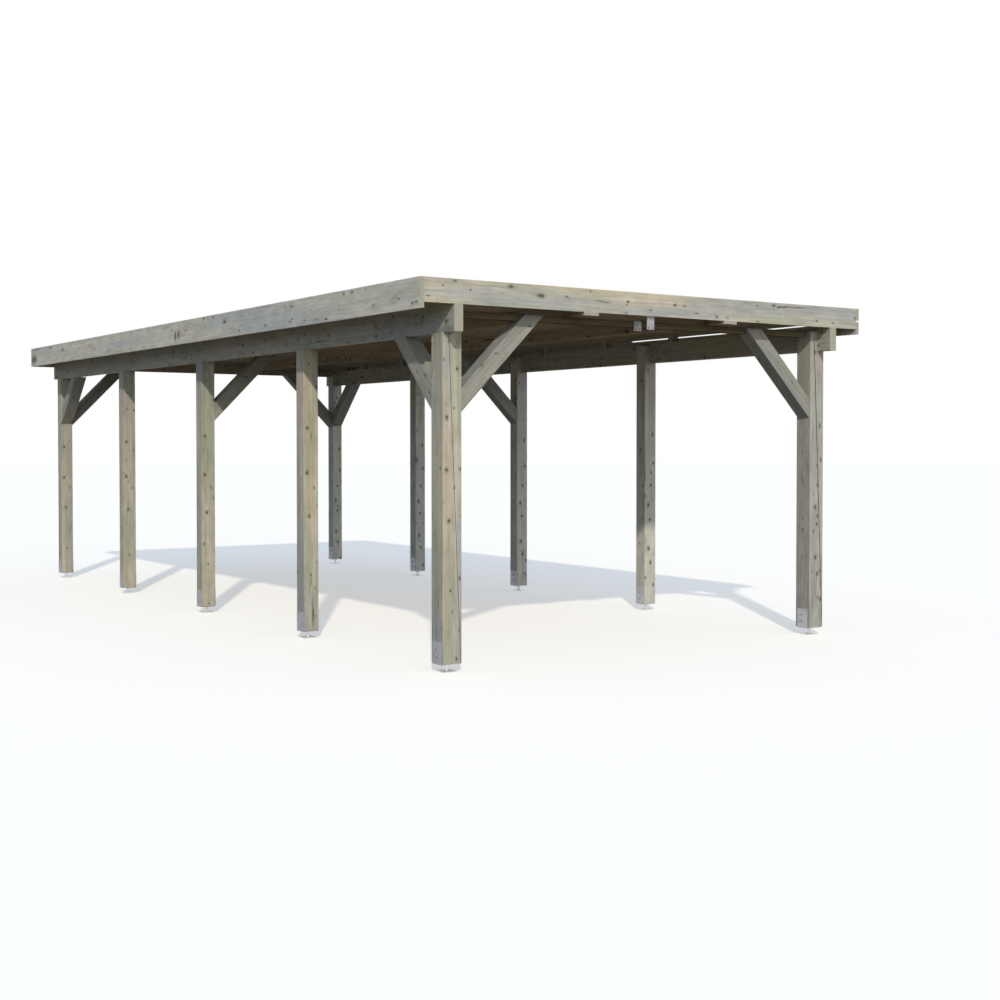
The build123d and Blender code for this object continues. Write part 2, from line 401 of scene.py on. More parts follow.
def knots_group():
    """Knots: where a branch meets the surface, with a rim and the grain bent round it."""
    name = "Softwood knots"
    if name in bpy.data.node_groups:
        return bpy.data.node_groups[name]
    tree, given, out = new_group(
        name,
        {"Vector": "Vector", "Radius": "Float"},
        {"Knot": "Float", "Rim": "Float", "Bent Vector": "Vector"},
    )
    per_metre = (10.0, 20.0, 20.0)
    cell_size = tuple(1.0 / rate for rate in per_metre)
    roundness = (0.62, 1.0, 1.0)
    bare_cells = 0.30
    ragged_rate, ragged_reach = 90.0, 0.007
    core_reach, rim_start, rim_end, bend_reach = 0.45, 2.1, 0.8, 4.0
    cells = vector_calc(tree, "MULTIPLY", given["Vector"], per_metre)
    inputs = {"Vector": cells, "Scale": 1.0, "Randomness": 1.0}
    cell = node(tree, "TexVoronoi", inputs, voronoi_dimensions="3D").outputs
    away = vector_calc(tree, "SUBTRACT", cells, cell["Position"])
    away = vector_calc(tree, "MULTIPLY", away, cell_size)
    ragged = calc(tree, "SUBTRACT", noise(tree, given["Vector"], ragged_rate), HALF)
    distance = vector_calc(tree, "LENGTH", vector_calc(tree, "MULTIPLY", away, roundness))
    distance = calc(tree, "ADD", distance, times(tree, ragged, ragged_reach))
    draw = node(tree, "SeparateColor", {"Color": cell["Color"]}).outputs[0]
    radius = times(tree, remap(tree, draw, bare_cells, 1.0, smooth=False), given["Radius"])
    core = remap(tree, distance, radius, times(tree, radius, core_reach))
    rim = remap(tree, distance, times(tree, radius, rim_start), times(tree, radius, rim_end))
    push = times(tree, remap(tree, distance, times(tree, radius, bend_reach), 0.0), radius)
    aside = vector_calc(tree, "MULTIPLY", vector_calc(tree, "NORMALIZE", away), ACROSS_GRAIN)
    shift = node(tree, "VectorMath", {0: aside, "Scale": push}, operation="SCALE").outputs[0]
    bent = vector_calc(tree, "SUBTRACT", given["Vector"], shift)
    feed(tree, out, {"Knot": core, "Rim": rim, "Bent Vector": bent})
    return tree


def grain_group():
    """Grain: growth bands, broad streaks, fine fibre and drying checks along the length."""
    name = "Softwood grain"
    if name in bpy.data.node_groups:
        return bpy.data.node_groups[name]
    labels = ("Bands", "Streaks", "Tone", "Fibre", "Checks")
    tree, given, out = new_group(name, {"Vector": "Vector"}, dict.fromkeys(labels, "Float"))
    sway_reach = (0.0, 0.05, 0.05)
    sway = grain_noise(tree, given["Vector"], 0.9, 3.0, output="Color")
    sway = vector_calc(tree, "SUBTRACT", sway, (HALF, HALF, HALF))
    sway = vector_calc(tree, "MULTIPLY", sway, sway_reach)
    waved = vector_calc(tree, "ADD", given["Vector"], sway)
    bands = node(
        tree,
        "TexWave",
        {
            "Vector": vector_calc(tree, "MULTIPLY", waved, (0.012, 1.0, 1.25)),
            "Scale": 17.0,
            "Distortion": 2.2,
            "Detail": 2.0,
            "Detail Scale": 0.35,
        },
        wave_type="BANDS",
        bands_direction="DIAGONAL",
        wave_profile="SAW",
    ).outputs["Fac"]
    streaks = grain_noise(tree, waved, 1.1, 42.0, detail=3.0, roughness=0.55)
    tone = grain_noise(tree, waved, 0.8, 11.0)
    fibre = grain_noise(tree, waved, 9.0, 420.0)
    rift = grain_noise(tree, waved, 0.7, 21.0, detail=1.0)
    rift = calc(tree, "ABSOLUTE", calc(tree, "SUBTRACT", rift, HALF))
    where = grain_noise(tree, given["Vector"], 1.3, 9.0, detail=1.0)
    checks = times(tree, remap(tree, rift, 0.012, 0.002), remap(tree, where, 0.56, 0.66))
    feed(tree, out, dict(zip(labels, (bands, streaks, tone, fibre, checks))))
    return tree


def timber_group():
    """Weathered softwood: colour, roughness and relief from the grain, the knots and the weather."""
    name = "Weathered softwood"
    if name in bpy.data.node_groups:
        return bpy.data.node_groups[name]
    inputs = {"Vector": "Vector", "End Cut": "Float", **dict.fromkeys(TIMBER_COLOURS, "Color")}
    inputs.update({"Stain Amount": "Float", "Knot Radius": "Float", "Placed Knot": "Float"})
    outputs = {"Color": "Color", "Roughness": "Float", "Height": "Float"}
    tree, given, out = new_group(name, inputs, outputs)
    rim_tint, core_tint, check_tint, arc_tint = 0.42, 0.88, 0.75, 0.55
    ragged_rate, ragged_reach = 130.0, 1.9
    smoothest, streak_roughness = 0.72, 0.2
    knots = group_node(tree, knots_group(), {"Vector": given["Vector"], "Radius": given["Knot Radius"]})
    grain = group_node(tree, grain_group(), {"Vector": knots["Bent Vector"]})
    face = blend(tree, remap(tree, grain["Streaks"], 0.36, 0.62), given["Pale"], given["Warm"])
    face = blend(tree, remap(tree, grain["Tone"], 0.46, 0.64), face, given["Green"])
    drift = grain_noise(tree, given["Vector"], 0.5, 5.0, detail=3.0, output="Color")
    drift = node(tree, "SeparateColor", {"Color": drift}).outputs[1]
    face = blend(tree, remap(tree, drift, 0.46, 0.66), face, given["Grey"])
    mottle = grain_noise(tree, given["Vector"], 7.0, 26.0, detail=3.0, roughness=0.6)
    shade = remap(tree, grain["Bands"], 0.0, 1.0, 1.03, 0.92, smooth=False)
    shade = times(tree, shade, remap(tree, grain["Fibre"], 0.3, 0.7, 0.95, 1.05, smooth=False))
    shade = times(tree, shade, remap(tree, mottle, 0.3, 0.7, 0.84, 1.1, smooth=False))
    shade = node(tree, "CombineColor", {0: shade, 1: shade, 2: shade}).outputs[0]
    face = blend(tree, 1.0, face, shade, "MULTIPLY")
    blot = grain_noise(tree, given["Vector"], 3.0, 12.0, detail=4.0, roughness=0.6)
    blot = times(tree, remap(tree, blot, 0.56, 0.76), given["Stain Amount"])
    face = blend(tree, blot, face, given["Stain"])
    ragged = calc(tree, "SUBTRACT", noise(tree, given["Vector"], ragged_rate, detail=3.0), HALF)
    placed = calc(tree, "ADD", given["Placed Knot"], times(tree, ragged, ragged_reach))
    rim = calc(tree, "MAXIMUM", knots["Rim"], remap(tree, placed, 2.0, 0.9))
    core = calc(tree, "MAXIMUM", knots["Knot"], remap(tree, placed, 1.05, 0.5))
    face = blend(tree, times(tree, rim, rim_tint), face, given["Rim"])
    face = blend(tree, times(tree, core, core_tint), face, given["Knot"])
    # Painted shade: fine drying checks take the check colour, which stands for the shadow inside them.
    face = blend(tree, times(tree, grain["Checks"], check_tint), face, given["Check"])
    arcs = node(
        tree,
        "TexWave",
        {
            "Vector": vector_calc(tree, "MULTIPLY", given["Vector"], ACROSS_GRAIN),
            "Scale": 30.0,
            "Distortion": 1.5,
            "Detail": 1.0,
        },
        wave_type="RINGS",
        rings_direction="X",
        wave_profile="SAW",
    ).outputs["Fac"]
    end = blend(tree, remap(tree, arcs, 0.0, 1.0, 0.0, arc_tint), given["End Colour"], given["Rim"])
    face = blend(tree, given["End Cut"], face, end)
    rough = calc(tree, "ADD", smoothest, times(tree, grain["Streaks"], streak_roughness), clamp=True)
    relief = calc(tree, "ADD", times(tree, grain["Bands"], -0.35), times(tree, grain["Fibre"], 0.3))
    relief = calc(tree, "ADD", relief, times(tree, core, 0.4))
    relief = calc(tree, "SUBTRACT", relief, times(tree, grain["Checks"], 1.2))
    feed(tree, out, {"Color": face, "Roughness": rough, "Height": relief})
    return tree


def grain_turn(direction):
    """Turn that lays a grain direction along X."""
    return Vector(direction).rotation_difference(ALONG_X).to_euler()


def new_material(name):
    """Node material with its tree and its shader."""
    material = bpy.data.materials.new(name)
    material.use_nodes = True
    tree = material.node_tree
    return material, tree, tree.nodes["Principled BSDF"]


def plain_tones(look):
    """Tones of freely weathered timber."""
    return [Vector(tone) for tone in (look.pale, look.warm, look.green, look.grey)]


def greyed_tones(look, dull, shade):
    """Plain tones that lean to grey, made brighter or darker."""
    return [tone.lerp(Vector(look.grey), dull) * shade for tone in plain_tones(look)]


def deck_tones(look):
    """Tones of the timber under the roof."""
    return [Vector(tone) for tone in (look.deck, look.deck_warm, look.deck, look.deck_warm)]


def softwood(name, direction, tones, *, seed, stain, knots=(), run=None, across=None, sheen=0.25):
    """Weathered softwood with its grain along a direction.

    Main knots are placed by their run along the grain and across it.
    """
    if name in bpy.data.materials:
        return bpy.data.materials[name]
    look = bpy.context.scene.carport_timber
    material, tree, shader = new_material(name)
    place = node(tree, "TexCoord").outputs
    turn = {"Vector": place["Object"], "Rotation": grain_turn(direction)}
    turn["Location"] = (seed, seed, -seed)
    facing = vector_calc(tree, "DOT_PRODUCT", place["Normal"], tuple(direction))
    nearest = NO_KNOT
    if knots:
        spot = [vector_calc(tree, "DOT_PRODUCT", place["Object"], tuple(axis)) for axis in (run, across)]
        spot = node(tree, "CombineXYZ", dict(enumerate(spot))).outputs[0]
        for along, aside, half_long, half_wide in knots:
            knot = {
                "Vector": spot,
                "Place": (along, aside, 0.0),
                "Half Size": (half_long, half_wide, 1.0),
                "Before": nearest,
            }
            nearest = group_node(tree, placed_knot_group(), knot)["Nearest"]
    inputs = {
        "Vector": node(tree, "Mapping", turn).outputs[0],
        "End Cut": remap(tree, calc(tree, "ABSOLUTE", facing), *END_CUT_BAND),
        "Stain Amount": stain,
        "Knot Radius": look.knot_radius * (look.fewer_knots if knots else 1.0),
        "Placed Knot": nearest,
    }
    colours = (*tones, look.knot, look.ring, look.end_cut, look.stain, look.check)
    inputs.update(zip(TIMBER_COLOURS, map(solid, colours)))
    wood = group_node(tree, timber_group(), inputs)
    skin = {
        "Base Color": wood["Color"],
        "Roughness": wood["Roughness"],
        "Normal": bump(tree, wood["Height"], HALF, look.grain_relief),
        "Specular IOR Level": sheen,
    }
    feed(tree, shader, skin)
    return material


def galvanised_steel(name, spangle_colour, oxide_colour, shine):
    """Hot-dip zinc with spangle and dull oxide, more or less shiny."""
    if name in bpy.data.materials:
        return bpy.data.materials[name]
    material, tree, shader = new_material(name)
    spangle_rate, cloud_rate = 120.0, 14.0
    spangle_roughness, oxide_roughness = 0.50 - 0.2 * shine, 0.72 - 0.3 * shine
    place = node(tree, "TexCoord").outputs["Object"]
    cells = node(tree, "TexVoronoi", {"Vector": place, "Scale": spangle_rate}, voronoi_dimensions="3D")
    spangle = node(tree, "SeparateColor", {"Color": cells.outputs["Color"]}).outputs[0]
    cloud = noise(tree, place, cloud_rate, detail=4.0, roughness=0.6)
    mask = calc(tree, "ADD", times(tree, spangle, 0.45), remap(tree, cloud, 0.35, 0.7, 0.0, 0.55))
    skin = {
        "Base Color": blend(tree, mask, solid(spangle_colour), solid(oxide_colour)),
        "Roughness": remap(tree, mask, 0.0, 1.0, spangle_roughness, oxide_roughness),
        "Normal": bump(tree, cloud, CLOUD_BUMP, MINERAL_RELIEF),
        "Metallic": shine,
    }
    feed(tree, shader, skin)
    return material


def zinc_coats():
    """Zinc of the cups, of the right-hand cups with painted reflection, and of the plates and rods with
    partly painted light.
    """
    look = bpy.context.scene.carport_steel
    cups = galvanised_steel("galvanised_cups", look.zinc, look.dull_zinc, CUP_SHINE)
    painted_reflection_cups = galvanised_steel("galvanised_right_cups", look.right_cup_zinc_painted_reflection, look.right_cup_oxide_painted_reflection, CUP_SHINE)
    bright = galvanised_steel("galvanised_plates", look.plate_zinc_painted_light, look.plate_oxide_painted_light, PLATE_SHINE)
    return cups, painted_reflection_cups, bright


def roofing_felt():
    """Mineral-surfaced roofing sheet."""
    name = "roofing_felt"
    if name in bpy.data.materials:
        return bpy.data.materials[name]
    look = bpy.context.scene.carport_roof
    material, tree, shader = new_material(name)
    grit_rate, wear_rate = 700.0, 2.3
    place = node(tree, "TexCoord").outputs["Object"]
    grit = noise(tree, place, grit_rate, roughness=0.7)
    worn = noise(tree, place, wear_rate, detail=4.0, roughness=0.6)
    mask = times(tree, remap(tree, grit, 0.45, 0.62), remap(tree, worn, 0.3, 0.7, 0.45, 1.0))
    skin = {
        "Base Color": blend(tree, mask, solid(look.felt), solid(look.felt_grit)),
        "Roughness": remap(tree, grit, 0.3, 0.7, 0.8, 0.95),
        "Normal": bump(tree, grit, HALF, MINERAL_RELIEF),
    }
    feed(tree, shader, skin)
    return material


def clear_selection():
    """Leaves no object selected."""
    bpy.ops.object.select_all(action="DESELECT")


def use(piece):
    """Makes a piece the only selected and the active object."""
    clear_selection()
    piece.select_set(True)
    bpy.context.view_layer.objects.active = piece


def name_piece(piece, name):
    """Names a piece and its mesh alike."""
    piece.name = name
    piece.data.name = name
    return piece


def settle(name):
    """Names the new primitive and moves its place and size into its mesh."""
    bpy.ops.object.transform_apply(location=True, rotation=True, scale=True)
    return name_piece(bpy.context.object, name)


def slab(name, low, high):
    """Cube primitive between two corners."""
    clear_selection()
    bpy.ops.mesh.primitive_cube_add(size=1.0, location=(Vector(low) + Vector(high)) * HALF)
    bpy.context.object.scale = Vector(high) - Vector(low)
    return settle(name)


def pick(piece, kind, test):
    """Enters edit mode with those elements selected whose middle and normal or run pass a test."""
    use(piece)
    mesh = piece.data
    for group in (mesh.vertices, mesh.edges, mesh.polygons):
        group.foreach_set("select", [False] * len(group))
    if kind == "EDGE":
        for edge in mesh.edges:
            first, last = (mesh.vertices[i].co for i in edge.vertices)
            edge.select = test((first + last) * HALF, (last - first).normalized())
    elif kind == "FACE":
        for face in mesh.polygons:
            face.select = test(face.center, face.normal)
    else:
        for corner in mesh.vertices:
            corner.select = test(corner.co, corner.normal)
    bpy.context.tool_settings.mesh_select_mode = (kind == "VERT", kind == "EDGE", kind == "FACE")
    bpy.ops.object.mode_set(mode="EDIT")


def leave_edit():
    """Back to object mode."""
    bpy.ops.object.mode_set(mode="OBJECT")


def apply_modifier(piece, kind, **settings):
    """Adds a modifier with its settings and applies it."""
    use(piece)
    modifier = piece.modifiers.new(kind.title(), kind)
    for key, value in settings.items():
        setattr(modifier, key, value)
    bpy.ops.object.modifier_apply(modifier=modifier.name)


def repeat(piece, count, step):
    """Repeats a piece at even steps along Y."""
    apply_modifier(
        piece,
        "ARRAY",
        count=count,
        use_relative_offset=False,
        use_constant_offset=True,
        constant_offset_displace=(0.0, step, 0.0),
    )


def cut(piece, cutter, **settings):
    """Cuts a piece with another one, then removes the cutter."""
    apply_modifier(piece, "BOOLEAN", operation="DIFFERENCE", object=cutter, solver="EXACT", **settings)
    bpy.data.objects.remove(cutter)


def copies(piece, name, places):
    """Joins one copy of a piece at each place, then removes the pattern piece."""
    made = []
    for place in places:
        copy = piece.copy()
        copy.data = piece.data.copy()
        copy.data.transform(place)
        bpy.context.collection.objects.link(copy)
        made.append(copy)
    bpy.data.objects.remove(piece)
    use(made[0])
    for copy in made:
        copy.select_set(True)
    bpy.ops.object.join()
    return name_piece(bpy.context.object, name)


def dress(piece, material, slot, *nodes):
    """Gives a piece its material and its body, and hides the nodes that it stands for; the slot argument
    is not used.
    """
    piece.data.materials.clear()
    piece.data.materials.append(material)
    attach(piece, BODY)
    if nodes:
        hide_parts(*nodes)


def coat(name, material):
    """Gives a construction node its material."""
    slots = NODES[name].material_slots
    if not slots:
        NODES[name].data.materials.append(material)
    for slot in slots:
        slot.material = material


class CARPORT_OT_frame_timber(bpy.types.Operator):
    """Coats posts, beams, braces and purlins with softwood that follows their grain"""

    bl_idname = "carport.frame_timber"
    bl_label = "Frame Timber"

    def post_wood(self, name, tones, knots, seed, stain=0.35):
        """Softwood of posts, with main knots that sink from post to post."""
        return softwood(
            name, ALONG_Z, tones, seed=seed, stain=stain, knots=knots, run=POST_RUN, across=ALONG_X
        )

    def brace_wood(self, name, slope, tones, seed, **knots):
        """Softwood of braces, with little stain."""
        return softwood(name, slope, tones, seed=seed, stain=0.3, **knots)

    def roof_wood(self, name, direction, tones, seed):
        """Dry timber without any sheen under the roof."""
        return softwood(name, direction, tones, seed=seed, stain=0.4, sheen=0.0)

    def execute(self, context):
        look = context.scene.carport_timber
        plain = plain_tones(look)
        greyed = greyed_tones(look, look.dull, look.dull_shade)
        # The right-hand posts behind the first get lighter tones as painted light.
        right_post_lit_tones = greyed_tones(look, look.dull, look.right_post_painted_light)
        braces = [tone * look.brace_shade for tone in greyed]
        roof = deck_tones(look)
        # The front crossbeam is a darker copy of the roof timber: painted shade.
        shaded = [tone * Vector(look.crossbeam) for tone in roof]
        posts = {
            "left": self.post_wood("left_post_softwood", plain, LEFT_POST_KNOTS, seed=0.0),
            "right": self.post_wood("right_post_softwood", right_post_lit_tones, RIGHT_POST_KNOTS, seed=2.3),
        }
        front_posts = {
            "left": self.post_wood("front_post_softwood", plain, LEFT_POST_KNOTS, seed=9.6),
            "right": self.post_wood("grey_post_softwood", greyed, RIGHT_POST_KNOTS, seed=2.3, stain=0.45),
        }
        beams = greyed_tones(look, look.beam_dull, look.beam_shade)
        beam = softwood("beam_softwood", ALONG_Y, beams, seed=1.7, stain=0.6)
        purlin = self.roof_wood("purlin_softwood", ALONG_Y, roof, seed=4.4)
        crossbeam = self.roof_wood("crossbeam_softwood", ALONG_X, roof, seed=3.1)
        front_crossbeam = self.roof_wood("front_crossbeam_softwood", ALONG_X, shaded, seed=3.1)
        brace_knots = {"knots": BRACE_KNOTS, "run": ALONG_X, "across": ALONG_Z}
        for side, sign in zip(SIDES, (-1.0, 1.0)):
            for number in POST_NUMBERS:
                coat(f"post_{side}_{number}", (front_posts if number == 1 else posts)[side])
            coat(f"beam_{side}", beam)
            coat(f"purlin_{side}", purlin)
            slope = Vector((-sign * DIAGONAL, 0.0, DIAGONAL))
            brace = f"cross_brace_{side}"
            leaning = self.brace_wood(f"{brace}_softwood", slope, braces, 5.3 + sign, **brace_knots)
            for place in PLACES:
                coat(f"{brace}_{place}", leaning)
            for place, inward in (("front", 1.0), ("back", -1.0)):
                slope = Vector((0.0, inward * DIAGONAL, DIAGONAL))
                leaning = self.brace_wood(f"long_brace_{place}_softwood", slope, braces, seed=8.9)
                coat(f"long_brace_{side}_{place}", leaning)
        for place in PLACES:
            coat(f"crossbeam_{place}", front_crossbeam if place == "front" else crossbeam)
        coat("beam_packers", beam)
        coat("fascia_cleats", purlin)
        return {"FINISHED"}


class CARPORT_OT_front_posts(bpy.types.Operator):
    """Cuts the long drying crack into the front face of both front posts"""

    bl_idname = "carport.front_posts"
    bl_label = "Front Posts"

    def wedge(self, top, foot, width, depth):
        """Cutter that narrows from the mouth of the crack to its bottom."""
        run = foot - top
        half = Vector((width, depth * 2.0, run.length * CRACK_OVERRUN)) * HALF
        cutter = slab("drying_crack", -half, half)
        pick(cutter, "FACE", lambda middle, normal: normal.y > HALF)
        bpy.ops.transform.resize(value=(CRACK_TAPER, 1.0, 1.0))
        leave_edit()
        cutter.rotation_euler.y = math.atan2(-run.x, -run.z)
        cutter.location = (top + foot) * HALF
        use(cutter)
        return settle("drying_crack")

    def post_copy(self, context, node_name, name):
        """Free copy of a post, with its flat faces whole."""
        post = NODES[node_name].copy()
        post.data = NODES[node_name].data.copy()
        post.parent = None
        for key in list(post.keys()):
            del post[key]
        context.collection.objects.link(post)
        name_piece(post, name)
        pick(post, "VERT", lambda place, normal: True)
        bpy.ops.mesh.remove_doubles(threshold=MERGE_GAP)
        bpy.ops.mesh.select_all(action="SELECT")
        bpy.ops.mesh.dissolve_limited(angle_limit=FLAT_ANGLE)
        leave_edit()
        return post

    def execute(self, context):
        kerf = context.scene.carport_kerf
        cracks = {
            "left": (kerf.left_top, kerf.left_foot, kerf.left_width),
            "right": (kerf.right_top, kerf.right_foot, kerf.right_width),
        }
        seat_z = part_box("beam_left")[0].z
        # Painted shade: the faces inside each crack take the dark check colour, which stands for the
        # shadow deep in the crack.
        crack_shade = [context.scene.carport_timber.check] * 4
        split = softwood("split_softwood", ALONG_Z, crack_shade, seed=6.6, stain=0.5)
        for side, (top_share, foot_share, width) in cracks.items():
            node_name = f"post_{side}_1"
            low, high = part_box(node_name)
            wide = high.x - low.x
            top = Vector((low.x + wide * top_share, low.y, seat_z))
            foot = Vector((low.x + wide * foot_share, low.y, low.z))
            cutter = self.wedge(top, foot, width, kerf.depth)
            cutter.data.materials.append(split)
            post = self.post_copy(context, node_name, f"post_{side}_front_cracked")
            dress(post, NODES[node_name].active_material, "post_timber", node_name)
            cut(post, cutter, material_mode="TRANSFER")
        return {"FINISHED"}


class CARPORT_OT_fascias(bpy.types.Operator):
    """Coats the fascia boards and notches the back board over the beam ends"""

    bl_idname = "carport.fascias"
    bl_label = "Fascia Boards"

    def back_board(self, ease):
        """Back fascia as deep as the side boards, notched over the ends of both beams."""
        low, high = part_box("fascia_back")
        board = slab("fascia_back_notched", low, high)
        for side in SIDES:
            beam_low, beam_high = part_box(f"beam_{side}")
            notch_low = (beam_low.x - ease, low.y - ease, beam_low.z)
            notch_high = (beam_high.x + ease, high.y + ease, beam_high.z + ease)
            cut(board, slab("beam_notch", notch_low, notch_high))
        return board

    def board_wood(self, name, direction, tones, knots, seed, stain):
        """Softwood of fascia boards, with main knots placed along the board and by height."""
        return softwood(
            name, direction, tones, seed=seed, stain=stain, knots=knots, run=direction, across=ALONG_Z
        )

    def execute(self, context):
        look = context.scene.carport_timber
        side = greyed_tones(look, look.side_board_dull, look.side_board_shade)
        end = [tone * look.end_board_shade for tone in plain_tones(look)]
        lengthwise = self.board_wood(
            "side_fascia_softwood", ALONG_Y, side, LEFT_FASCIA_KNOTS, seed=21.7, stain=0.45
        )
        across = self.board_wood(
            "end_fascia_softwood", ALONG_X, end, FRONT_FASCIA_KNOTS, seed=14.2, stain=0.3
        )
        for name in ("fascia_left", "fascia_right_upper", "fascia_right_lower"):
            coat(name, lengthwise)
        coat("fascia_front", across)
        dress(self.back_board(look.notch_ease), across, "fascia_boards", "fascia_back")
        return {"FINISHED"}


class CARPORT_OT_roof_boards(bpy.types.Operator):
    """Lays separate bevelled boards across the roof"""

    bl_idname = "carport.roof_boards"
    bl_label = "Roof Boards"

    def execute(self, context):
        sizes = context.scene.carport_roof
        tones = deck_tones(context.scene.carport_timber)
        wood = softwood("roof_board_softwood", ALONG_X, tones, seed=17.0, stain=0.4, sheen=0.0)
        low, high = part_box("roof_boards")
        count = round((high.y - low.y) / sizes.board_cover)
        pitch = (high.y - low.y) / count
        bevel = sizes.board_bevel
        board = slab("roof_boards_laid", low, (high.x, low.y + pitch, high.z))
        pick(board, "EDGE", lambda middle, run: abs(run.x) > HALF and middle.z < low.z + bevel)
        bpy.ops.mesh.bevel(offset=bevel, segments=1)
        leave_edit()
        repeat(board, count, pitch)
        dress(board, wood, "roof_boards", "roof_boards")
        return {"FINISHED"}


class CARPORT_OT_roof_felt(bpy.types.Operator):
    """Lays lapped roofing sheets and dresses their edge up the fascia"""

    bl_idname = "carport.roof_felt"
    bl_label = "Roofing Felt"

    def execute(self, context):
        sizes = context.scene.carport_roof
        low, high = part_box("roof_felt")
        thick = (high.z - low.z) * HALF
        count = math.ceil((high.y - low.y) / sizes.sheet_cover)
        cover = (high.y - low.y - sizes.sheet_lap) / count
        sheet = slab("roof_felt_sheets", low, (high.x, low.y + cover + sizes.sheet_lap, low.z + thick))
        pick(sheet, "VERT", lambda place, normal: place.y > low.y + cover)
        bpy.ops.transform.translate(value=(0.0, 0.0, thick))
        leave_edit()
        repeat(sheet, count, cover)
        dress(sheet, roofing_felt(), "roofing_felt", "roof_felt")
        rim = slab("roof_felt_upstand", (low.x, low.y, high.z), (high.x, high.y, high.z + sizes.upstand))
        pick(rim, "FACE", lambda middle, normal: abs(normal.z) > HALF)
        bpy.ops.mesh.delete(type="ONLY_FACE")
        leave_edit()
        apply_modifier(rim, "SOLIDIFY", thickness=thick, offset=-1.0, use_even_offset=True, use_rim=True)
        dress(rim, roofing_felt(), "roofing_felt")
        return {"FINISHED"}


class CARPORT_OT_steel(bpy.types.Operator):
    """Coats the post shoes and lugs with zinc"""

    bl_idname = "carport.steel"
    bl_label = "Galvanised Steel"

    def execute(self, context):
        cups, painted_reflection_cups, bright = zinc_coats()
        for name in NODES:
            # Right-hand cups: zinc with painted reflection.
            if name == "shoe_cups_right":
                coat(name, painted_reflection_cups)
            elif name in ("shoe_cups_left", "midspan_lugs"):
                coat(name, cups)
            elif name.startswith("shoe_"):
                coat(name, bright)
        return {"FINISHED"}


class CARPORT_OT_fasteners(bpy.types.Operator):
    """Adds the shoe screws and the weld beads of the shoes"""

    bl_idname = "carport.fasteners"
    bl_label = "Fasteners"

    def cylinder(self, name, sides, radius, low_z, height):
        """Cylinder primitive that stands along Z."""
        clear_selection()
        bpy.ops.mesh.primitive_cylinder_add(
            vertices=sides, radius=radius, depth=height, location=(0.0, 0.0, low_z + height * HALF)
        )
        return settle(name)

    def hex_screw(self, name, look):
        """Hexagon head on its washer, standing along Z from the origin."""
        washer = self.cylinder("washer", 20, look.washer_radius, 0.0, look.washer_height)
        head = self.cylinder(name, 6, look.screw_radius, look.washer_height, look.screw_height)
        middle_z = look.washer_height + look.screw_height * HALF
        pick(head, "EDGE", lambda middle, run: middle.z > middle_z and abs(run.z) < HALF)
        bpy.ops.mesh.bevel(offset=look.screw_height * HEAD_BEVEL, segments=2)
        leave_edit()
        use(head)
        washer.select_set(True)
        bpy.ops.object.join()
        return bpy.context.object

    def weld_bead(self, radius, look):
        """Bead round the foot of a rod."""
        clear_selection()
        bpy.ops.mesh.primitive_torus_add(
            major_radius=radius, minor_radius=look.weld_radius, major_segments=20, minor_segments=8
        )
        bead = settle("weld_bead")
        bpy.ops.object.shade_smooth()
        return bead

    def execute(self, context):
        look = context.scene.carport_steel
        cups, _, bright = zinc_coats()
        to_right = Matrix.Rotation(math.pi * HALF, 4, "Y")
        to_left = Matrix.Rotation(-math.pi * HALF, 4, "Y")
        screws, beads = [], []
        for side in SIDES:
            cups_low, cups_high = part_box(f"shoe_cups_{side}")
            plate_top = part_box(f"shoe_plates_{side}")[1].z
            for number in POST_NUMBERS:
                low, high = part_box(f"post_{side}_{number}")
                middle = (low + high) * HALF
                sheet = low.z - cups_low.z
                flange = cups_high.z - low.z
                for rise in SCREW_RISES:
                    z = low.z + flange * rise
                    screws.append(Matrix.Translation((high.x + sheet, middle.y, z)) @ to_right)
                    screws.append(Matrix.Translation((low.x - sheet, middle.y, z)) @ to_left)
                beads.append(Matrix.Translation((middle.x, middle.y, plate_top)))
        screw = self.hex_screw("shoe_screw", look)
        dress(copies(screw, "shoe_screws", screws), cups, "galvanised_steel")
        low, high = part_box("post_left_5")
        rod_radius = (low.x + high.x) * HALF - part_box("shoe_rods_left")[0].x
        bead = self.weld_bead(rod_radius, look)
        dress(copies(bead, "shoe_welds", beads), bright, "galvanised_steel")
        return {"FINISHED"}


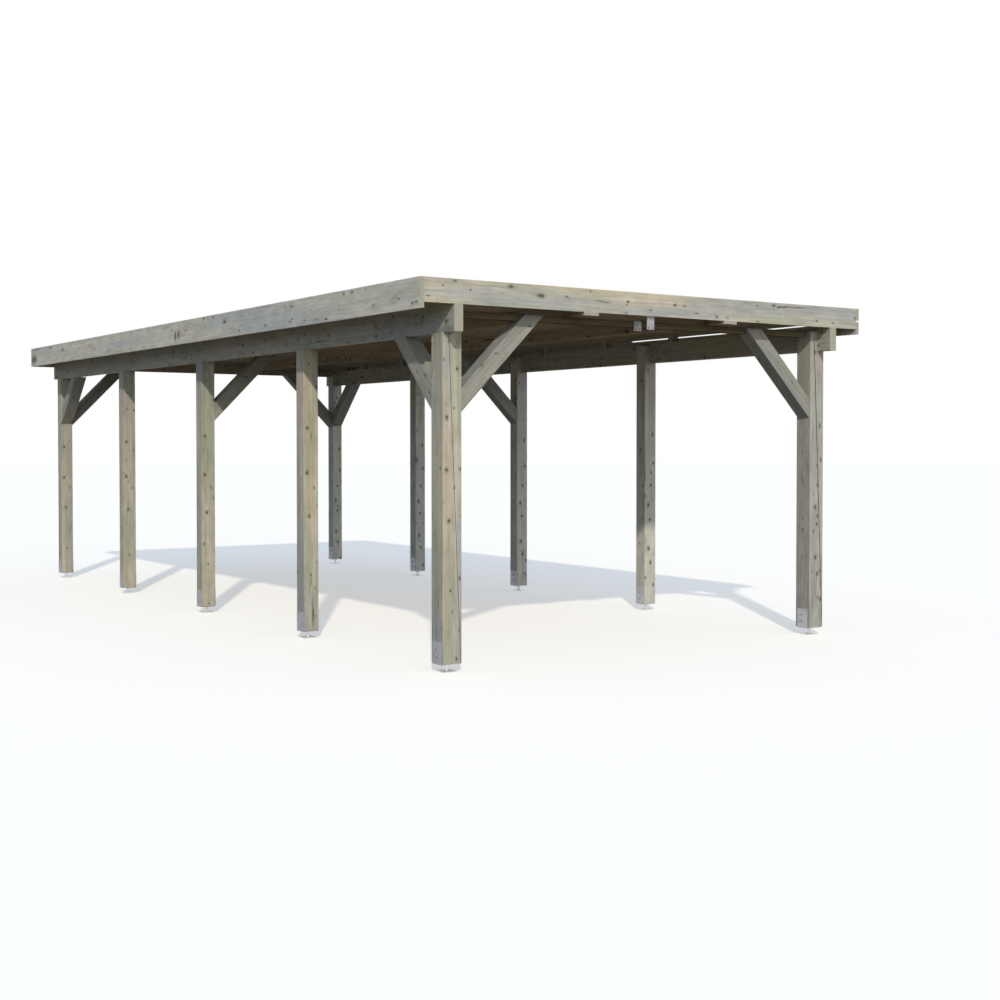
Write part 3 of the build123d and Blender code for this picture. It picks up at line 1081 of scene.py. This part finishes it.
class CARPORT_OT_stage(bpy.types.Operator):
    """Sets the floor, the light and the camera"""

    bl_idname = "carport.stage"
    bl_label = "Stage"

    def seen_mask(self, tree):
        """One where a ray comes from the camera, a mirror or glass, else zero."""
        path = node(tree, "LightPath").outputs
        seen = calc(tree, "MAXIMUM", path["Is Camera Ray"], path["Is Glossy Ray"])
        return calc(tree, "MAXIMUM", seen, path["Is Transmission Ray"])

    def floor_material(self, look):
        """Pale floor that keeps the shadow, and throws back the tone of paved ground."""
        material, tree, shader = new_material("stage_floor")
        tree.nodes.remove(shader)
        ground = node(tree, "BsdfDiffuse", {"Color": solid(look.bounce)}).outputs[0]
        pale = node(tree, "BsdfDiffuse", {"Color": solid(look.floor)}).outputs[0]
        glow = node(tree, "Emission", {"Color": solid(WHITE), "Strength": FLOOR_GLOW}).outputs[0]
        bright = node(tree, "AddShader", {0: pale, 1: glow}).outputs[0]
        surface = node(tree, "MixShader", {0: self.seen_mask(tree), 1: ground, 2: bright}).outputs[0]
        tree.links.new(surface, tree.nodes["Material Output"].inputs["Surface"])
        return material

    def set_key(self, context, look):
        """Sun from the left, the front and above."""
        bpy.ops.object.light_add(type="SUN", location=-SUN_TRAVEL * SUN_DISTANCE)
        key = context.object
        key.name = "stage_key"
        key.rotation_euler = SUN_TRAVEL.to_track_quat("-Z", "Y").to_euler()
        key.data.energy = look.sun
        key.data.angle = look.sun_softness
        key.data.color = look.sun_colour

    def set_world(self, context, look):
        """White background, with an even fill and a low light from the front behind it."""
        world = bpy.data.worlds.new("stage_world")
        context.scene.world = world
        world.use_nodes = True
        tree = world.node_tree
        tree.nodes.clear()
        heading = node(tree, "TexCoord").outputs["Generated"]
        ahead = vector_calc(tree, "DOT_PRODUCT", heading, tuple(-ALONG_Y))
        rise = vector_calc(tree, "DOT_PRODUCT", heading, tuple(ALONG_Z))
        ahead_band, top_band, foot_band, foot_share = (0.1, 0.9), (0.55, 0.30), (0.0, 0.16), 0.35
        low = times(tree, remap(tree, rise, *top_band), remap(tree, rise, *foot_band, foot_share))
        strength = times(tree, remap(tree, ahead, *ahead_band, 0.0, look.front_fill), low)
        front = {"Color": solid(look.front_colour), "Strength": strength}
        front = node(tree, "Background", front).outputs[0]
        fill = node(tree, "Background", {"Color": solid(look.sky), "Strength": look.fill}).outputs[0]
        fill = node(tree, "AddShader", {0: fill, 1: front}).outputs[0]
        white = node(tree, "Background", {"Color": solid(WHITE), "Strength": 1.0}).outputs[0]
        both = node(tree, "MixShader", {0: self.seen_mask(tree), 1: fill, 2: white}).outputs[0]
        tree.links.new(both, node(tree, "OutputWorld").inputs["Surface"])

    def set_camera(self, context, look):
        """Camera that stands as the photograph's did."""
        turn = (math.pi * HALF + look.pitch, 0.0, -look.yaw)
        bpy.ops.object.camera_add(location=CAMERA_PLACE, rotation=turn)
        camera = context.object
        camera.name = "stage_camera"
        camera.data.sensor_width = SENSOR_WIDTH
        camera.data.lens = look.lens
        camera.data.shift_y = look.rise
        camera.data.clip_end = FAR_CLIP
        context.scene.camera = camera

    def execute(self, context):
        look = context.scene.carport_stage
        clear_selection()
        bpy.ops.mesh.primitive_plane_add(size=FLOOR_SIZE, location=(0.0, 0.0, -FLOOR_DROP))
        floor = settle("stage_floor")
        floor.data.materials.append(self.floor_material(look))
        self.set_key(context, look)
        self.set_world(context, look)
        self.set_camera(context, look)
        context.scene.view_settings.view_transform = "Standard"
        return {"FINISHED"}


class CARPORT_PT_panel(bpy.types.Panel):
    """Lists the steps that dress the carport"""

    bl_idname = "CARPORT_PT_panel"
    bl_label = "Timber Carport"
    bl_space_type = "VIEW_3D"
    bl_region_type = "UI"
    bl_category = "Carport"

    def draw(self, context):
        for step in STEPS:
            self.layout.operator(step.bl_idname)


STEPS = (
    CARPORT_OT_frame_timber,
    CARPORT_OT_front_posts,
    CARPORT_OT_fascias,
    CARPORT_OT_roof_boards,
    CARPORT_OT_roof_felt,
    CARPORT_OT_steel,
    CARPORT_OT_fasteners,
    CARPORT_OT_stage,
)
SETTINGS = {
    "carport_timber": CarportTimberLook,
    "carport_steel": CarportSteelLook,
    "carport_roof": CarportRoofSizes,
    "carport_kerf": CarportKerfSizes,
    "carport_stage": CarportStageLook,
}


def register():
    """Registers the settings, the steps and the panel."""
    for name, settings in SETTINGS.items():
        bpy.utils.register_class(settings)
        setattr(bpy.types.Scene, name, bpy.props.PointerProperty(type=settings))
    for step in STEPS:
        bpy.utils.register_class(step)
    bpy.utils.register_class(CARPORT_PT_panel)


def unregister():
    """Takes back what register added."""
    bpy.utils.unregister_class(CARPORT_PT_panel)
    for step in reversed(STEPS):
        bpy.utils.unregister_class(step)
    for name, settings in SETTINGS.items():
        delattr(bpy.types.Scene, name)
        bpy.utils.unregister_class(settings)


def main():
    """Registers the steps and dresses the carport in order."""
    register()
    bpy.ops.carport.frame_timber()
    bpy.ops.carport.front_posts()
    bpy.ops.carport.fascias()
    bpy.ops.carport.roof_boards()
    bpy.ops.carport.roof_felt()
    bpy.ops.carport.steel()
    bpy.ops.carport.fasteners()
    bpy.ops.carport.stage()


if __name__ == "__main__":
    main()
